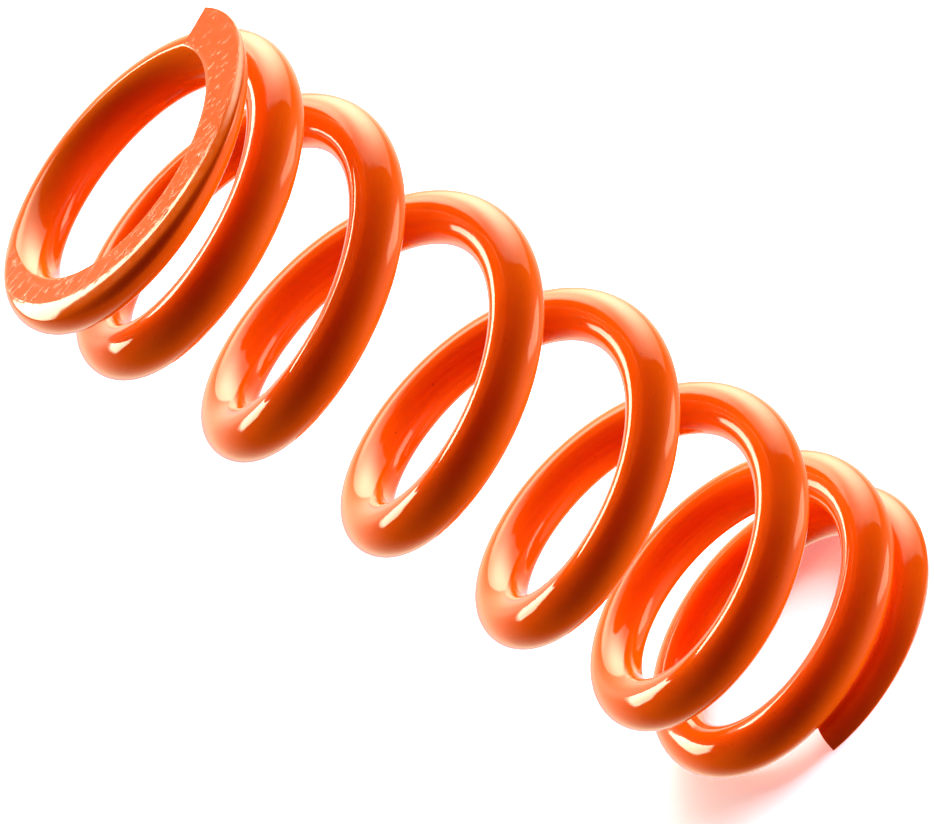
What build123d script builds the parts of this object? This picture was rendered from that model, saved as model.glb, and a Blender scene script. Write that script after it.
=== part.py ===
from build123d import *

import os
from math import cos, radians, sin

# Shock spring: a right-handed compression spring wound from round wire. Both end coils close
# up towards their neighbours and are ground flat, so that the spring stands square on a
# collar. It stands on its lower end, with the axis of the coil along +Z.

# Wire and coil, in millimetres
wire_diameter = 7.75
bore_diameter = 35.3
free_length = 136.0

# Winding, in turns and in degrees from +X
turns = 7.35
lower_tip_angle = 234.0

# Lower end: turns that lie closed, turns over which the pitch opens, the gap between the
# closed coils, and what grinding leaves of the wire at its tip
lower_closed_turns = 0.8
lower_opening_turns = 1.7
lower_coil_gap = 0.35
lower_tip_thickness = 2.6

# Upper end, the same
upper_closed_turns = 0.8
upper_opening_turns = 1.6
upper_coil_gap = 1.95
upper_tip_thickness = 1.7

# Outer edge of each ground face, worn round. The rounding is centred a little off the axis of
# the coil, towards a place past the tip of the wire, so that it fades out before the tip.
edge_radius = 2.2
edge_offset = 1.8
edge_offset_lead = 53.0
edge_clearance = 0.1

# Points of the wire's centre line in each turn
points_per_turn = 24

wire_radius = wire_diameter / 2
coil_radius = (bore_diameter + wire_diameter) / 2
upper_tip_angle = lower_tip_angle + 360 * turns

# How far the wire's centre runs past each ground plane at the tip
lower_overrun = wire_radius - lower_tip_thickness
upper_overrun = wire_radius - upper_tip_thickness

# The pitch is steady in each end coil and in the middle, and opens evenly between them. Each
# opening stretch counts half as closed and half as open, which leaves the middle's pitch.
lower_pitch = wire_diameter + lower_coil_gap
upper_pitch = wire_diameter + upper_coil_gap
lower_share = lower_closed_turns + lower_opening_turns / 2
upper_share = upper_closed_turns + upper_opening_turns / 2
rise = free_length + lower_overrun + upper_overrun
middle_rise = rise - lower_pitch * lower_share - upper_pitch * upper_share
middle_pitch = middle_rise / (turns - lower_share - upper_share)


def turns_gained(past, stretch):
    """Turns at full pitch that match an even opening over a stretch, this far past its start."""
    share = min(max(past / stretch, 0), 1)
    return stretch * share**2 / 2 + max(past - stretch, 0)


def wire_height(turn):
    """Height of the wire's centre, this many turns from the lower tip."""
    past_lower = turn - lower_closed_turns
    past_middle = turn - (turns - upper_closed_turns - upper_opening_turns)
    opening = (middle_pitch - lower_pitch) * turns_gained(past_lower, lower_opening_turns)
    closing = (middle_pitch - upper_pitch) * turns_gained(past_middle, upper_opening_turns)
    return lower_pitch * turn + opening - closing - lower_overrun


def wire_point(turn):
    """Centre of the wire, this many turns from the lower tip."""
    angle = radians(lower_tip_angle + 360 * turn)
    return (coil_radius * cos(angle), coil_radius * sin(angle), wire_height(turn))


# What grinding and wear take from an end: all that lies past the face, and a ring round it
# that leaves the outer edge a quarter round. Opposite its offset, the ring just clears the
# outside of the coil.
def end_cut(face_height, inward, towards):
    """Solid cut away at a ground face; inward is +1 where the wire lies above the face."""
    axis_x = edge_offset * cos(radians(towards))
    axis_y = edge_offset * sin(radians(towards))
    side_x = axis_x + coil_radius + wire_radius + edge_offset + edge_clearance
    rim_x = side_x - edge_radius
    outer_x = side_x + edge_radius
    side_height = face_height + inward * edge_radius
    beyond_height = face_height - inward * wire_diameter
    with BuildPart() as cut:
        with BuildSketch(Plane.XZ.offset(-axis_y)):
            with BuildLine():
                RadiusArc((rim_x, face_height), (side_x, side_height), -inward * edge_radius)
                Polyline(
                    (side_x, side_height),
                    (outer_x, side_height),
                    (outer_x, beyond_height),
                    (axis_x, beyond_height),
                    (axis_x, face_height),
                    (rim_x, face_height),
                )
            make_face()
        revolve(axis=Axis((axis_x, axis_y, 0), (0, 0, 1)))
    return cut.part


lower_cut = end_cut(0, 1, lower_tip_angle - edge_offset_lead)
upper_cut = end_cut(free_length, -1, upper_tip_angle + edge_offset_lead)

# Coil spring: the wire along its centre line, ground flat at both ends
steps = round(turns * points_per_turn)
with BuildPart() as coil_spring:
    with BuildLine() as centre_line:
        Spline([wire_point(turns * step / steps) for step in range(steps + 1)])
    with BuildSketch(Plane(origin=centre_line.line @ 0, z_dir=centre_line.line % 0)):
        Circle(wire_radius)
    sweep(is_frenet=True)
    add(lower_cut, mode=Mode.SUBTRACT)
    add(upper_cut, mode=Mode.SUBTRACT)
coil_spring.part.label = "coil_spring"

os.makedirs("parts", exist_ok=True)
export_step(coil_spring.part, "parts/coil_spring.step")
print("pitch of the middle coils", round(middle_pitch, 2), "mm")
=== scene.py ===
from math import cos, hypot, pi, radians, sin, sqrt

import bpy
from mathutils import Matrix, Vector


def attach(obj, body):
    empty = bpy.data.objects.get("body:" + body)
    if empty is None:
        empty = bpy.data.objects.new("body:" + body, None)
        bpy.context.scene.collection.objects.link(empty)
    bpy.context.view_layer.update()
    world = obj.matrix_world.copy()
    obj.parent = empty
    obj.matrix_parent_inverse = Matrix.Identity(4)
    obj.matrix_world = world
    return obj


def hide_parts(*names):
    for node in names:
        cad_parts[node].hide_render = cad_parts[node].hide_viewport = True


# Shock spring with its coat: a mesh of the same wire as the solid, wound the same way, with the
# coat's own rounding at the ground edges, standing in a studio with dark walls.

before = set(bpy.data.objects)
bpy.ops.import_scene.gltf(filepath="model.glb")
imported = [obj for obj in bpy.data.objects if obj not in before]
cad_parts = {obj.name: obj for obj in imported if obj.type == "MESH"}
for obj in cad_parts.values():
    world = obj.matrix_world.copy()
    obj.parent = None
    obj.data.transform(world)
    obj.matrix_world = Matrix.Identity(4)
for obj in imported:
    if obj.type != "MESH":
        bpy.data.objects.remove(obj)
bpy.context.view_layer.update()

MM = 0.001

# Wire and coil, in millimetres, as in the solid
WIRE_RADIUS = 7.75 / 2
BORE_RADIUS = 35.3 / 2
COIL_RADIUS = BORE_RADIUS + WIRE_RADIUS
FREE_LENGTH = 136.0

# Winding, in turns and degrees from +X
TURNS = 7.35
LOWER_TIP_ANGLE = 234.0
UPPER_TIP_ANGLE = LOWER_TIP_ANGLE + 360 * TURNS

# Each end: closed turns, opening turns, pitch, and how far the wire's centre overruns the face
LOWER_CLOSED, LOWER_OPENING, LOWER_PITCH = 0.8, 1.7, 2 * WIRE_RADIUS + 0.35
UPPER_CLOSED, UPPER_OPENING, UPPER_PITCH = 0.8, 1.6, 2 * WIRE_RADIUS + 1.95
LOWER_OVERRUN = WIRE_RADIUS - 2.6
UPPER_OVERRUN = WIRE_RADIUS - 1.7

# The middle's pitch is what the two ends leave of the rise
LOWER_SHARE = LOWER_CLOSED + LOWER_OPENING / 2
UPPER_SHARE = UPPER_CLOSED + UPPER_OPENING / 2
RISE = FREE_LENGTH + LOWER_OVERRUN + UPPER_OVERRUN
MIDDLE_RISE = RISE - LOWER_PITCH * LOWER_SHARE - UPPER_PITCH * UPPER_SHARE
MIDDLE_PITCH = MIDDLE_RISE / (TURNS - LOWER_SHARE - UPPER_SHARE)

# Worn outer edge of the ground faces: its radius, how far its axis lies off the coil's and how
# many degrees past the tip of the wire, its clearance past the coil's outside, and how far from
# its axis it starts
EDGE_RADIUS = 2.2
EDGE_OFFSET = 1.8
EDGE_LEAD = 53.0
EDGE_CLEARANCE = 0.1
EDGE_START = COIL_RADIUS + WIRE_RADIUS + EDGE_OFFSET + EDGE_CLEARANCE - EDGE_RADIUS

# The coat's own thickness rounds every ground edge a little, by a share of the face where that
# is narrow
COAT_ROUND = 0.22
COAT_ROUND_SHARE = 1 / 6

# Lip of the flat, which slopes down a little before the worn edge: its reach inwards and its
# slope near the tip of the wire and further round, and the turns between which it changes.
# It also bends down, at one radius near the tip and at a smaller one further round.
LIP_REACH = (0.6, 1.3)
LIP_SLOPE = (radians(9), radians(2.8))
LIP_TURNS = (0.13, 0.27)
LIP_SOFTNESS = 0.15
LIP_BEND = (11.0, 4.5)
LIP_BEND_TURNS = (0.32, 0.55)

# Mesh: stations along each turn, points in each part of a section, and how far the wire stays
# inside the solid's box
STATIONS_PER_TURN = 150
FLAT_POINTS = 7
WORN_POINTS = 8
CORNER_POINTS = 4
SIDE_POINTS = 15
END_POINTS = FLAT_POINTS + WORN_POINTS + 2 * CORNER_POINTS
BOX_MARGIN = 0.001
SHARP_ANGLE = radians(40)

# Where an end isn't ground, its points lie in a band over the crown of the wire, which widens
# over these turns past the end of the face
CROWN_HALF_WIDTH = (radians(8), radians(35))
CROWN_TURNS = 0.25

# The worn points take at least this share of a face's width
RIM_SHARE = 0.12

# A face is looked for over this many turns from the tip
FACE_SEARCH_TURNS = 1.2

# Steps of a search by halving, and the drop at which the flat has ended
HALVINGS = 40
FLAT_TOLERANCE = 1e-6

# Wear at the points across a ground end: outer corner, worn edge, flat and inner corner
OUTER_CORNER_WEAR = [0.2, 0.4, 0.5, 0.6]
WORN_EDGE_WEAR = [0.7, 0.8, 0.9, 1.0, 1.0, 0.8, 0.5, 0.2]
INNER_CORNER_WEAR = [0.2, 0.5, 0.6, 0.3]
END_WEAR = OUTER_CORNER_WEAR + WORN_EDGE_WEAR + [0.0] * FLAT_POINTS + INNER_CORNER_WEAR

# Slopes between which the look of the flat gives way to that of the gloss
GROUND_SLOPES = (0.03, 0.08)


def share_between(value, limits):
    """How far a value has gone from the first limit to the second, from 0 to 1."""
    return min(max((value - limits[0]) / (limits[1] - limits[0]), 0), 1)


def part_way(ends, share):
    return ends[0] + (ends[1] - ends[0]) * share


def turns_gained(past, stretch):
    """Turns at full pitch that match an even opening over a stretch, this far past its start."""
    share = min(max(past / stretch, 0), 1)
    return stretch * share**2 / 2 + max(past - stretch, 0)


def wire_height(turn):
    """Height of the wire's centre, this many turns from the lower tip."""
    opening = (MIDDLE_PITCH - LOWER_PITCH) * turns_gained(turn - LOWER_CLOSED, LOWER_OPENING)
    past_middle = turn - (TURNS - UPPER_CLOSED - UPPER_OPENING)
    closing = (MIDDLE_PITCH - UPPER_PITCH) * turns_gained(past_middle, UPPER_OPENING)
    return LOWER_PITCH * turn + opening - closing - LOWER_OVERRUN


def halved(inside, outside, holds):
    """The place between two others up to which something holds."""
    for _ in range(HALVINGS):
        middle = (inside + outside) / 2
        if holds(middle):
            inside = middle
        else:
            outside = middle
    return inside


class Section:
    """The wire's outline in the upright plane at one place of the coil, as (radius, height).

    An end is 1 for the upper one and -1 for the lower one.
    """

    def __init__(self, turn):
        self.turn = turn
        self.angle = radians(LOWER_TIP_ANGLE + 360 * turn)
        self.height = wire_height(turn)
        step = 0.001
        slope = (wire_height(turn + step) - wire_height(turn - step)) / (2 * step)
        self.half_width = WIRE_RADIUS - BOX_MARGIN
        self.half_height = self.half_width * sqrt(1 + (slope / (2 * pi * COIL_RADIUS)) ** 2)

    def on_wire(self, phi):
        return (
            COIL_RADIUS + self.half_width * cos(phi),
            self.height + self.half_height * sin(phi),
        )

    def depth(self, point, end):
        """How far a point lies inside the ground and worn end; negative is cut away."""
        radius, height = point
        inside = FREE_LENGTH - height if end > 0 else height
        towards = UPPER_TIP_ANGLE + EDGE_LEAD if end > 0 else LOWER_TIP_ANGLE - EDGE_LEAD
        axis_x = EDGE_OFFSET * cos(radians(towards))
        axis_y = EDGE_OFFSET * sin(radians(towards))
        reach = hypot(radius * cos(self.angle) - axis_x, radius * sin(self.angle) - axis_y)
        from_tip = TURNS - self.turn if end > 0 else self.turn
        return inside - max(worn_drop(reach), lip_drop(reach, from_tip))

    def surface(self, radius, end):
        """Point of the ground face or worn edge at this radius."""
        drop = -self.depth((radius, FREE_LENGTH if end > 0 else 0.0), end)
        return (radius, FREE_LENGTH - drop if end > 0 else drop)

    def slope(self, radius, end):
        """Slope of the ground face or worn edge at this radius."""
        step = 0.01
        fall = self.surface(radius - step, end)[1] - self.surface(radius + step, end)[1]
        return fall * end / (2 * step)

    def crossing(self, end, outer):
        """Angle round the wire at which the ground end cuts it, or None."""
        top = end * pi / 2
        if self.depth(self.on_wire(top), end) >= 0:
            return None
        side = -top if outer else 3 * top
        return halved(side, top, lambda phi: self.depth(self.on_wire(phi), end) > 0)


def worn_drop(reach):
    """How far the worn edge has dropped below the face, this far from its axis."""
    past = min(max(reach - EDGE_START, 0), EDGE_RADIUS)
    return EDGE_RADIUS - sqrt(EDGE_RADIUS**2 - past**2)


def lip_drop(reach, from_tip):
    """How far the lip has dropped below the face, this far from its axis and from the tip."""
    share = share_between(from_tip, LIP_TURNS)
    past = max(reach - EDGE_START + part_way(LIP_REACH, share), 0)
    soft = min(past, LIP_SOFTNESS)
    run = soft**2 / (2 * LIP_SOFTNESS) + max(past - LIP_SOFTNESS, 0)
    bend = part_way(LIP_BEND, share_between(from_tip, LIP_BEND_TURNS))
    return part_way(LIP_SLOPE, share) * run + past**2 / (2 * bend)


def blend(a, b, share):
    return tuple(p + (q - p) * share for p, q in zip(a, b))


def rounded_corner(before, corner, after):
    """Points of a short curve from before to after that stays inside the corner."""
    points = []
    for i in range(CORNER_POINTS):
        share = i / (CORNER_POINTS - 1)
        points.append(blend(blend(before, corner, share), blend(corner, after, share), share))
    return points


def crown_band(section, end):
    """The points of an end that isn't ground, and the angles that they span."""
    away = min(abs(section.turn - FACE_LIMITS[end]) / CROWN_TURNS, 1)
    half = part_way(CROWN_HALF_WIDTH, away)
    outer = end * (pi / 2 - half)
    inner = end * (pi / 2 + half)
    spread = [outer + (inner - outer) * i / (END_POINTS - 1) for i in range(END_POINTS)]
    return [section.on_wire(phi) for phi in spread], outer, inner


def ground_band(section, end, outer, inner):
    """The points of a ground end, from the outside in, and the angles that they span."""
    outer_point = section.on_wire(outer)
    inner_point = section.on_wire(inner)
    soft = min(COAT_ROUND, (outer_point[0] - inner_point[0]) * COAT_ROUND_SHARE)
    outer -= end * soft / WIRE_RADIUS
    inner += end * soft / WIRE_RADIUS
    first = section.surface(outer_point[0] - soft, end)
    last = section.surface(inner_point[0] + soft, end)
    rim = rim_radius(section, end, first[0], last[0])
    points = rounded_corner(section.on_wire(outer), outer_point, first)
    for i in range(1, WORN_POINTS + 1):
        points.append(section.surface(first[0] + (rim - first[0]) * i / WORN_POINTS, end))
    for i in range(1, FLAT_POINTS + 1):
        points.append(section.surface(rim + (last[0] - rim) * i / (FLAT_POINTS + 1), end))
    points += rounded_corner(last, inner_point, section.on_wire(inner))
    return points, outer, inner


def rim_radius(section, end, first, last):
    """Radius at which the flat turns into the lip, kept inside the face's own width."""
    face_height = FREE_LENGTH if end > 0 else 0.0
    rim = halved(
        last, first, lambda radius: section.depth((radius, face_height), end) >= -FLAT_TOLERANCE
    )
    return min(rim, first - (first - last) * RIM_SHARE)


def end_band(section, end):
    """Points across one end of a section, from the outside in, and the angles they span."""
    outer = section.crossing(end, True)
    if outer is None:
        return crown_band(section, end)
    return ground_band(section, end, outer, section.crossing(end, False))


def find_face_limit(end):
    """Turn at which the ground face has narrowed away."""
    tip = TURNS if end > 0 else 0.0
    beyond = tip - end * FACE_SEARCH_TURNS
    return halved(tip, beyond, lambda turn: Section(turn).crossing(end, True) is not None)


FACE_LIMITS = {end: find_face_limit(end) for end in (1, -1)}


def side_points(section, start, stop):
    """Points round one side of the wire, between two angles that have points already."""
    step = (stop - start) / (SIDE_POINTS + 1)
    return [section.on_wire(start + step * i) for i in range(1, SIDE_POINTS + 1)]


def outline(section):
    """The closed outline of a section: top from outside in, inner side, bottom, outer side."""
    top, top_outer, top_inner = end_band(section, 1)
    bottom, bottom_outer, bottom_inner = end_band(section, -1)
    inner_side = side_points(section, top_inner, 2 * pi + bottom_inner)
    outer_side = side_points(section, bottom_outer, top_outer)
    return top + inner_side + bottom[::-1] + outer_side


def surface_marks(section, points):
    """For each point of an outline, how far it is ground flat and how far an edge is worn."""
    ground = [0.0] * len(points)
    wear = [0.0] * len(points)
    for end in (1, -1):
        if section.crossing(end, True) is None:
            continue
        for j in range(END_POINTS):
            place = j if end > 0 else 2 * END_POINTS + SIDE_POINTS - 1 - j
            wear[place] = END_WEAR[j]
            if CORNER_POINTS - 1 <= j <= END_POINTS - CORNER_POINTS:
                slope = section.slope(points[place][0], end)
                ground[place] = 1 - share_between(slope, GROUND_SLOPES)
    return ground, wear


def wire_faces(stations, around):
    """The quads between the stations and the two flat ends of the wire."""
    faces = []
    for i in range(stations):
        here, there = i * around, (i + 1) * around
        for j in range(around):
            k = (j + 1) % around
            faces.append((here + j, there + j, there + k, here + k))
    faces.append(tuple(range(around)))
    faces.append(tuple(reversed(range(stations * around, (stations + 1) * around))))
    return faces


def spring_mesh():
    """The coated wire, with what is ground and what is worn as attributes of its vertices."""
    stations = round(TURNS * STATIONS_PER_TURN)
    vertices = []
    ground = []
    wear = []
    for i in range(stations + 1):
        section = Section(TURNS * i / stations)
        points = outline(section)
        flatness, edges = surface_marks(section, points)
        ground += flatness
        wear += edges
        along_x, along_y = cos(section.angle), sin(section.angle)
        for radius, height in points:
            vertices.append((radius * along_x * MM, radius * along_y * MM, height * MM))
    around = len(vertices) // (stations + 1)
    mesh = bpy.data.meshes.new("coated_wire")
    mesh.from_pydata(vertices, [], wire_faces(stations, around))
    for name, values in (("ground", ground), ("edge_wear", wear)):
        mesh.attributes.new(name, "FLOAT", "POINT").data.foreach_set("value", values)
    mesh.shade_smooth()
    mesh.set_sharp_from_angle(angle=SHARP_ANGLE)
    mesh.validate()
    mesh.update()
    return mesh


def new_material(name):
    material = bpy.data.materials.new(name)
    material.use_nodes = True
    tree = material.node_tree
    return material, tree, tree.nodes["Principled BSDF"]


def math_node(tree, operation, *values):
    """Math node of sockets and numbers; the result's socket."""
    node = tree.nodes.new("ShaderNodeMath")
    node.operation = operation
    for socket, value in zip(node.inputs, values):
        if isinstance(value, (int, float)):
            socket.default_value = value
        else:
            tree.links.new(value, socket)
    return node.outputs[0]


def added(tree, first, second):
    return math_node(tree, "ADD", first, second)


def multiplied(tree, first, second):
    return math_node(tree, "MULTIPLY", first, second)


def dot_node(tree, vector, constant):
    node = tree.nodes.new("ShaderNodeVectorMath")
    node.operation = "DOT_PRODUCT"
    tree.links.new(vector, node.inputs[0])
    node.inputs[1].default_value = constant
    return node.outputs["Value"]


def ramp_node(tree, value, low, high, at_low=0.0, at_high=1.0):
    """A smooth step between two values of the input."""
    node = tree.nodes.new("ShaderNodeMapRange")
    node.interpolation_type = "SMOOTHSTEP"
    tree.links.new(value, node.inputs["Value"])
    node.inputs["From Min"].default_value = low
    node.inputs["From Max"].default_value = high
    node.inputs["To Min"].default_value = at_low
    node.inputs["To Max"].default_value = at_high
    return node.outputs["Result"]


def attribute_node(tree, name):
    node = tree.nodes.new("ShaderNodeAttribute")
    node.attribute_name = name
    return node.outputs["Fac"]


def scaled_place(tree, scale, turned=0.0):
    """Place on the object in millimetres, turned about Z and scaled along each axis."""
    node = tree.nodes.new("ShaderNodeMapping")
    node.vector_type = "TEXTURE"
    tree.links.new(tree.nodes.new("ShaderNodeTexCoord").outputs["Object"], node.inputs["Vector"])
    node.inputs["Rotation"].default_value = (0, 0, radians(turned))
    node.inputs["Scale"].default_value = [MM / value for value in scale]
    return node.outputs["Vector"]


def noise_node(tree, place, scale, detail=2.0):
    node = tree.nodes.new("ShaderNodeTexNoise")
    tree.links.new(place, node.inputs["Vector"])
    node.inputs["Scale"].default_value = scale
    node.inputs["Detail"].default_value = detail
    return node.outputs[0]


def colour_mix(tree, factor, first, second):
    """Mix of two colours, each a socket or a colour."""
    node = tree.nodes.new("ShaderNodeMix")
    node.data_type = "RGBA"
    tree.links.new(factor, node.inputs["Factor"])
    for socket, colour in ((node.inputs[6], first), (node.inputs[7], second)):
        if isinstance(colour, tuple):
            socket.default_value = (*colour, 1)
        else:
            tree.links.new(colour, socket)
    return node.outputs[2]


# Colours of the coat: its two shades of orange, on a ground face, rubbed, and in a speck
COAT_COLOUR = (0.95, 0.138, 0.003)
COAT_DEEP = (0.9, 0.116, 0.002)
FACE_COLOUR = (0.97, 0.12, 0.006)
WORN_COLOUR = (1.0, 0.42, 0.2)
SPECK_COLOUR = (0.3, 0.03, 0.01)

# Patterns in the coat, in repeats a millimetre
DRIFT_SCALE = 0.07
RUB_SCALE = 0.8
SPECK_SCALE = 1.6
DULL_SCALE = 0.3
PEEL_SCALE = 0.5
SWELL_SCALE = 0.35

# Most that rubbing and a speck change the colour
RUB_STRENGTH = 0.16
SPECK_STRENGTH = 0.4

# Roughness of the gloss in its clear and dull patches, and what grinding and wear add
GLOSS_ROUGHNESS = (0.025, 0.05)
GROUND_ROUGHNESS = 0.04
WORN_ROUGHNESS = 0.02

# Heights of the orange peel, and of the strokes and the swell that grinding left, in millimetres
PEEL_HEIGHT = 0.012
STROKE_HEIGHT = 0.065
SWELL_HEIGHT = 0.03

# Strokes: repeats a millimetre along and across them, and how far they are turned, in degrees.
# They are plain up to the first X, in millimetres, and past the second this much is left.
STROKE_SCALE = (0.5, 1.6, 1)
STROKE_TURN = -29.0
STROKE_FADE = (-4.0, 8.0)
FAINT_STROKES = 0.1


def coat_colour(tree, place, ground, worn):
    """Orange that drifts a little, salmon on the ground faces, pale where an edge is worn."""
    drift = ramp_node(tree, noise_node(tree, place, DRIFT_SCALE), 0.35, 0.65)
    colour = colour_mix(tree, drift, COAT_COLOUR, COAT_DEEP)
    colour = colour_mix(tree, ground, colour, FACE_COLOUR)
    patches = ramp_node(tree, noise_node(tree, place, RUB_SCALE, 4.0), 0.35, 0.65, 0.1, 1.0)
    rubbed = multiplied(tree, ramp_node(tree, worn, 0.65, 1.0, 0.0, RUB_STRENGTH), patches)
    colour = colour_mix(tree, rubbed, colour, WORN_COLOUR)
    specks = noise_node(tree, place, SPECK_SCALE, 0.0)
    speck = ramp_node(tree, specks, 0.84, 0.9, 0.0, SPECK_STRENGTH)
    return colour_mix(tree, speck, colour, SPECK_COLOUR)


def coat_roughness(tree, place, ground, worn):
    """Glossy, with duller patches, and duller still where it is ground or worn."""
    dull = noise_node(tree, place, DULL_SCALE, 3.0)
    patches = ramp_node(tree, dull, 0.3, 0.7, *GLOSS_ROUGHNESS)
    dulled = multiplied(tree, ground, GROUND_ROUGHNESS)
    rubbed = multiplied(tree, worn, WORN_ROUGHNESS)
    return added(tree, patches, added(tree, dulled, rubbed))


def coat_height(tree, place, ground):
    """Orange peel in the gloss, and what the grinding left on the faces; in millimetres."""
    across = tree.nodes.new("ShaderNodeSeparateXYZ")
    tree.links.new(place, across.inputs[0])
    fading = ramp_node(tree, across.outputs["X"], *STROKE_FADE, 1.0, FAINT_STROKES)
    peel = multiplied(tree, noise_node(tree, place, PEEL_SCALE, 1.0), PEEL_HEIGHT)
    strokes = noise_node(tree, scaled_place(tree, STROKE_SCALE, STROKE_TURN), 1.0, 1.0)
    ridges = multiplied(tree, ramp_node(tree, strokes, 0.58, 0.7, 0.0, STROKE_HEIGHT), fading)
    swell = multiplied(tree, noise_node(tree, place, SWELL_SCALE, 1.0), SWELL_HEIGHT)
    marks = multiplied(tree, added(tree, ridges, swell), ground)
    return added(tree, peel, marks)


def coat_material():
    material, tree, shader = new_material("orange_gloss_coat")
    place = scaled_place(tree, (1, 1, 1))
    ground = attribute_node(tree, "ground")
    worn = attribute_node(tree, "edge_wear")
    tree.links.new(coat_colour(tree, place, ground, worn), shader.inputs["Base Color"])
    tree.links.new(coat_roughness(tree, place, ground, worn), shader.inputs["Roughness"])
    bump = tree.nodes.new("ShaderNodeBump")
    bump.inputs["Distance"].default_value = MM
    tree.links.new(coat_height(tree, place, ground), bump.inputs["Height"])
    tree.links.new(bump.outputs["Normal"], shader.inputs["Normal"])
    return material


def make_spring():
    spring = bpy.data.objects.new("orange_spring", spring_mesh())
    bpy.context.scene.collection.objects.link(spring)
    spring.data.materials.append(coat_material())
    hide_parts("coil_spring")
    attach(spring, "root")


def direction(azimuth, elevation):
    """Unit vector; azimuth in degrees from +X towards +Y."""
    a, e = radians(azimuth), radians(elevation)
    return Vector((cos(a) * cos(e), sin(a) * cos(e), sin(e)))


# Camera: the point it looks at, where it stands from there, how far it is rolled, and its lens
CAMERA_TARGET = Vector((0.03, 3.47, 67.0)) * MM
CAMERA_AZIMUTH = -101.708
CAMERA_ELEVATION = 29.297
CAMERA_ROLL = 55.016
CAMERA_DISTANCE = 784.4 * MM
CAMERA_LENS = 212.5
CAMERA_SENSOR = 36


def make_camera():
    data = bpy.data.cameras.new("camera")
    data.lens = CAMERA_LENS
    data.sensor_width = CAMERA_SENSOR
    camera = bpy.data.objects.new("camera", data)
    bpy.context.scene.collection.objects.link(camera)
    outward = direction(CAMERA_AZIMUTH, CAMERA_ELEVATION)
    level = (-outward).to_track_quat("-Z", "Y").to_matrix()
    turned = level @ Matrix.Rotation(radians(-CAMERA_ROLL), 3, "Z")
    place = Matrix.Translation(CAMERA_TARGET + outward * CAMERA_DISTANCE)
    camera.matrix_world = place @ turned.to_4x4()
    bpy.context.scene.camera = camera


# Lamps with straight edges, as seen from the object: the azimuth and elevation of each corner
# in degrees, and how soft the edge is that starts there
KEY_CORNERS = [
    (-9, -12, 0.07),
    (56, -12, 0.03),
    (63, 18, 0.03),
    (70, 33, 0.04),
    (68, 46, 0.05),
    (42, 56, 0.05),
    (12, 53, 0.05),
    (-7, 30, 0.02),
]
WINDOW_CORNERS = [
    (92, 21, 0.03),
    (122, 20, 0.04),
    (122, 31, 0.03),
    (74, 38, 0.02),
    (74, 32, 0.015),
]
STRIP_CORNERS = [
    (-52, -38, 0.06),
    (-12, -53, 0.06),
    (-3, -36, 0.04),
    (-22, -27, 0.03),
    (-52, -23, 0.05),
]

# Light that is even over a lamp or over the walls
KEY_LIGHT = 1.2
WINDOW_LIGHT = 7.5
STRIP_LIGHT = 2.8
AMBIENT_LIGHT = 0.02

# Glows: the direction of the middle, the degrees out to which it is full and at which it has
# gone, and its strength. The backdrop's middle is plain white to glossy and clear rays.
BACKDROP = (81, -27)
KEY_MIDDLE = ((31, 17), 0, 38, 6.0)
KEY_CORNER = ((62, 38), 3, 17, 3.2)
WINDOW_NEAR_END = ((80, 33), 5, 35, 4.0)
WINDOW_WALL = ((88, 20), 4, 13, 0.4)
BACKDROP_GLOW = (BACKDROP, 5, 72, 2.0)
BACKDROP_SHADE = ((58, -55), 8, 32, 0.7)
BACKDROP_WHITE = (BACKDROP, 16, 32, 1.0)
LOW_WALL = ((-40, -45), 15, 50, 0.45)

LAMP_COLOUR = (1.15, 1.19, 0.84)
WHITE = (1, 1, 1)


def glow(tree, ray, towards, core, reach, strength):
    """Light that is full within core degrees of a direction and gone past reach degrees."""
    angle = math_node(tree, "ARCCOSINE", dot_node(tree, ray, direction(*towards)))
    return ramp_node(tree, angle, radians(core), radians(reach), strength, 0.0)


def lamp_mask(tree, ray, corners):
    """Mask of a lamp with straight edges, from its corners and the softness of each edge."""
    mask = None
    for (*first, soft), (*second, _) in zip(corners, corners[1:] + corners[:1]):
        normal = direction(*first).cross(direction(*second)).normalized()
        inside = ramp_node(tree, dot_node(tree, ray, normal), -soft, soft)
        mask = inside if mask is None else multiplied(tree, mask, inside)
    return mask


def key_lamp(tree, ray):
    """Large soft box to the right, brightest near its middle and at its far upper corner."""
    light = added(tree, glow(tree, ray, *KEY_MIDDLE), glow(tree, ray, *KEY_CORNER))
    return multiplied(tree, lamp_mask(tree, ray, KEY_CORNERS), added(tree, light, KEY_LIGHT))


def window_lamp(tree, ray):
    """Low bright window behind the object, with some light on the wall beside it."""
    light = added(tree, glow(tree, ray, *WINDOW_NEAR_END), WINDOW_LIGHT)
    light = multiplied(tree, lamp_mask(tree, ray, WINDOW_CORNERS), light)
    return added(tree, light, glow(tree, ray, *WINDOW_WALL))


def strip_lamp(tree, ray):
    """Long lamp beside the object, low down."""
    return multiplied(tree, lamp_mask(tree, ray, STRIP_CORNERS), STRIP_LIGHT)


def wall_light(tree, ray):
    """The backdrop behind the object, which dims towards one side, and the dark walls."""
    shade = math_node(tree, "SUBTRACT", 1.0, glow(tree, ray, *BACKDROP_SHADE))
    light = multiplied(tree, glow(tree, ray, *BACKDROP_GLOW), shade)
    return added(tree, added(tree, light, glow(tree, ray, *LOW_WALL)), AMBIENT_LIGHT)


def white_seen(tree, backdrop):
    """Where a ray meets plain white: the camera's everywhere, glossy and clear ones' behind."""
    rays = tree.nodes.new("ShaderNodeLightPath").outputs
    clear = math_node(tree, "MAXIMUM", rays["Is Glossy Ray"], rays["Is Transmission Ray"])
    clear = multiplied(tree, clear, backdrop)
    return math_node(tree, "MAXIMUM", clear, rays["Is Camera Ray"])


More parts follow.
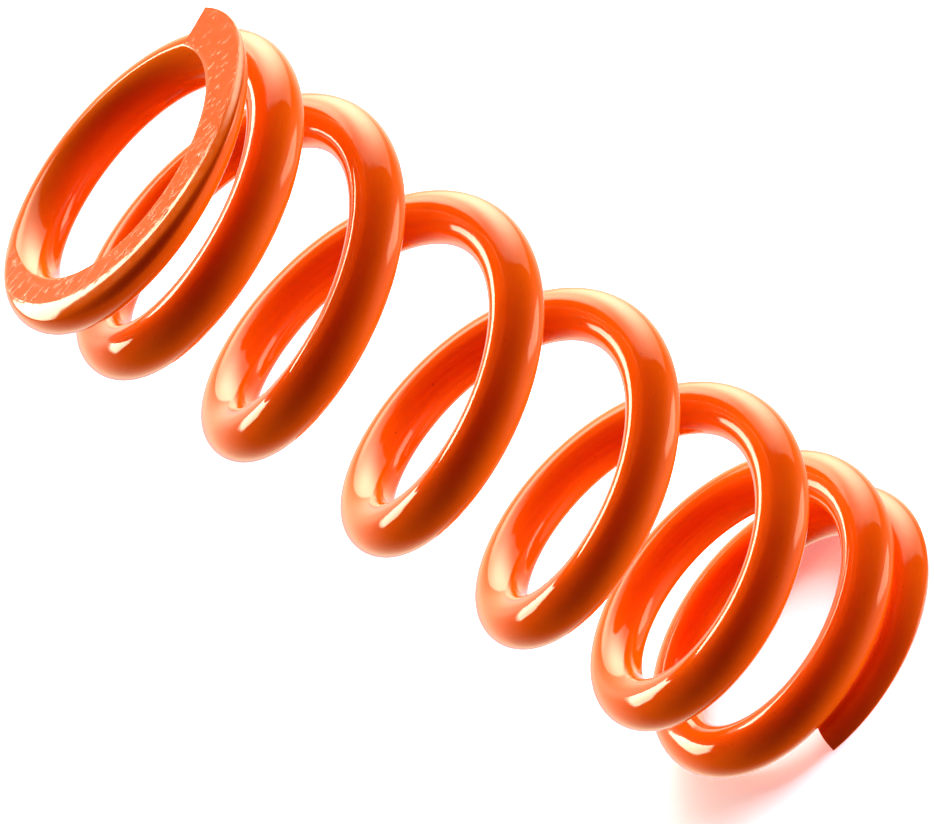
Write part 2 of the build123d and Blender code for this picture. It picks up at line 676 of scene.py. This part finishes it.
def make_world():
    """Lamps on dark walls; the backdrop behind the object is white, and lights it softly."""
    world = bpy.data.worlds.new("studio")
    bpy.context.scene.world = world
    world.use_nodes = True
    tree = world.node_tree
    ray = tree.nodes.new("ShaderNodeTexCoord").outputs["Generated"]
    light = wall_light(tree, ray)
    for lamp in (key_lamp, window_lamp, strip_lamp):
        light = added(tree, light, lamp(tree, ray))
    coloured = tree.nodes.new("ShaderNodeVectorMath")
    coloured.operation = "SCALE"
    coloured.inputs[0].default_value = LAMP_COLOUR
    tree.links.new(light, coloured.inputs["Scale"])
    white = white_seen(tree, glow(tree, ray, *BACKDROP_WHITE))
    seen = colour_mix(tree, white, coloured.outputs["Vector"], WHITE)
    tree.links.new(seen, tree.nodes["Background"].inputs["Color"])


# Broad lamps: name, direction and spread in degrees, strength and colour. They bring out the
# coat's own colour, and the last two are reddish to keep the shadow side deep.
FILL_LAMPS = (
    ("left_fill", (135, 6), 35, 0.95, (1, 0.8, 0.7)),
    ("right_fill", (-22, -48), 50, 0.36, (1, 0.85, 0.7)),
    ("key_fill", (55, 10), 35, 0.75, (1, 1, 0.9)),
    ("low_fill", (-95, -65), 40, 0.62, (1, 0.8, 0.5)),
    ("side_fill", (-40, 25), 40, 0.2, (1, 0.45, 0.25)),
    ("front_fill", (-85, 5), 70, 0.13, (1, 0.02, 0.01)),
)
FLOOR_SUN = ("floor_sun", (-8, 60), 50, 2.8, WHITE)


def fill_lamp(name, towards, spread, strength, colour):
    """Broad lamp that lights the colour but isn't seen in the gloss."""
    data = bpy.data.lights.new(name, "SUN")
    data.energy = strength * pi
    data.angle = radians(spread)
    data.color = colour
    lamp = bpy.data.objects.new(name, data)
    lamp.rotation_euler = (-direction(*towards)).to_track_quat("-Z", "Y").to_euler()
    lamp.visible_glossy = False
    bpy.context.scene.collection.objects.link(lamp)
    return lamp


# Floor: half its width in metres, its colour, the light that it gives off by itself, which
# shows in the shadow, and its roughness
FLOOR_HALF = 0.7
FLOOR_COLOUR = (0.72, 0.78, 0.9)
FLOOR_LIGHT = (0.37, 0.18, 0.185)
FLOOR_ROUGHNESS = 0.8


def floor_material():
    material, tree, shader = new_material("pale_floor")
    shader.inputs["Base Color"].default_value = (*FLOOR_COLOUR, 1)
    shader.inputs["Roughness"].default_value = FLOOR_ROUGHNESS
    shader.inputs["Specular IOR Level"].default_value = 0.0
    shader.inputs["Emission Color"].default_value = (*FLOOR_LIGHT, 1)
    rays = tree.nodes.new("ShaderNodeLightPath").outputs
    seen = math_node(tree, "MAXIMUM", rays["Is Glossy Ray"], rays["Is Transmission Ray"])
    seen = math_node(tree, "MAXIMUM", seen, rays["Is Camera Ray"])
    tree.links.new(seen, shader.inputs["Emission Strength"])
    return material


def make_floor():
    """Pale floor that takes the shadow of a lamp of its own, and lights nothing."""
    corners = [(-1, -1), (1, -1), (1, 1), (-1, 1)]
    mesh = bpy.data.meshes.new("floor")
    mesh.from_pydata([(x * FLOOR_HALF, y * FLOOR_HALF, 0) for x, y in corners], [], [(0, 1, 2, 3)])
    mesh.materials.append(floor_material())
    floor = bpy.data.objects.new("floor", mesh)
    bpy.context.scene.collection.objects.link(floor)
    floor.visible_glossy = False
    floor.visible_diffuse = False
    floor.visible_shadow = False
    floor_only = bpy.data.collections.new("floor_only")
    floor_only.objects.link(floor)
    fill_lamp(*FLOOR_SUN).light_linking.receiver_collection = floor_only


make_spring()
make_camera()
make_world()
for lamp in FILL_LAMPS:
    fill_lamp(*lamp)
make_floor()
bpy.context.scene.view_settings.view_transform = "Standard"
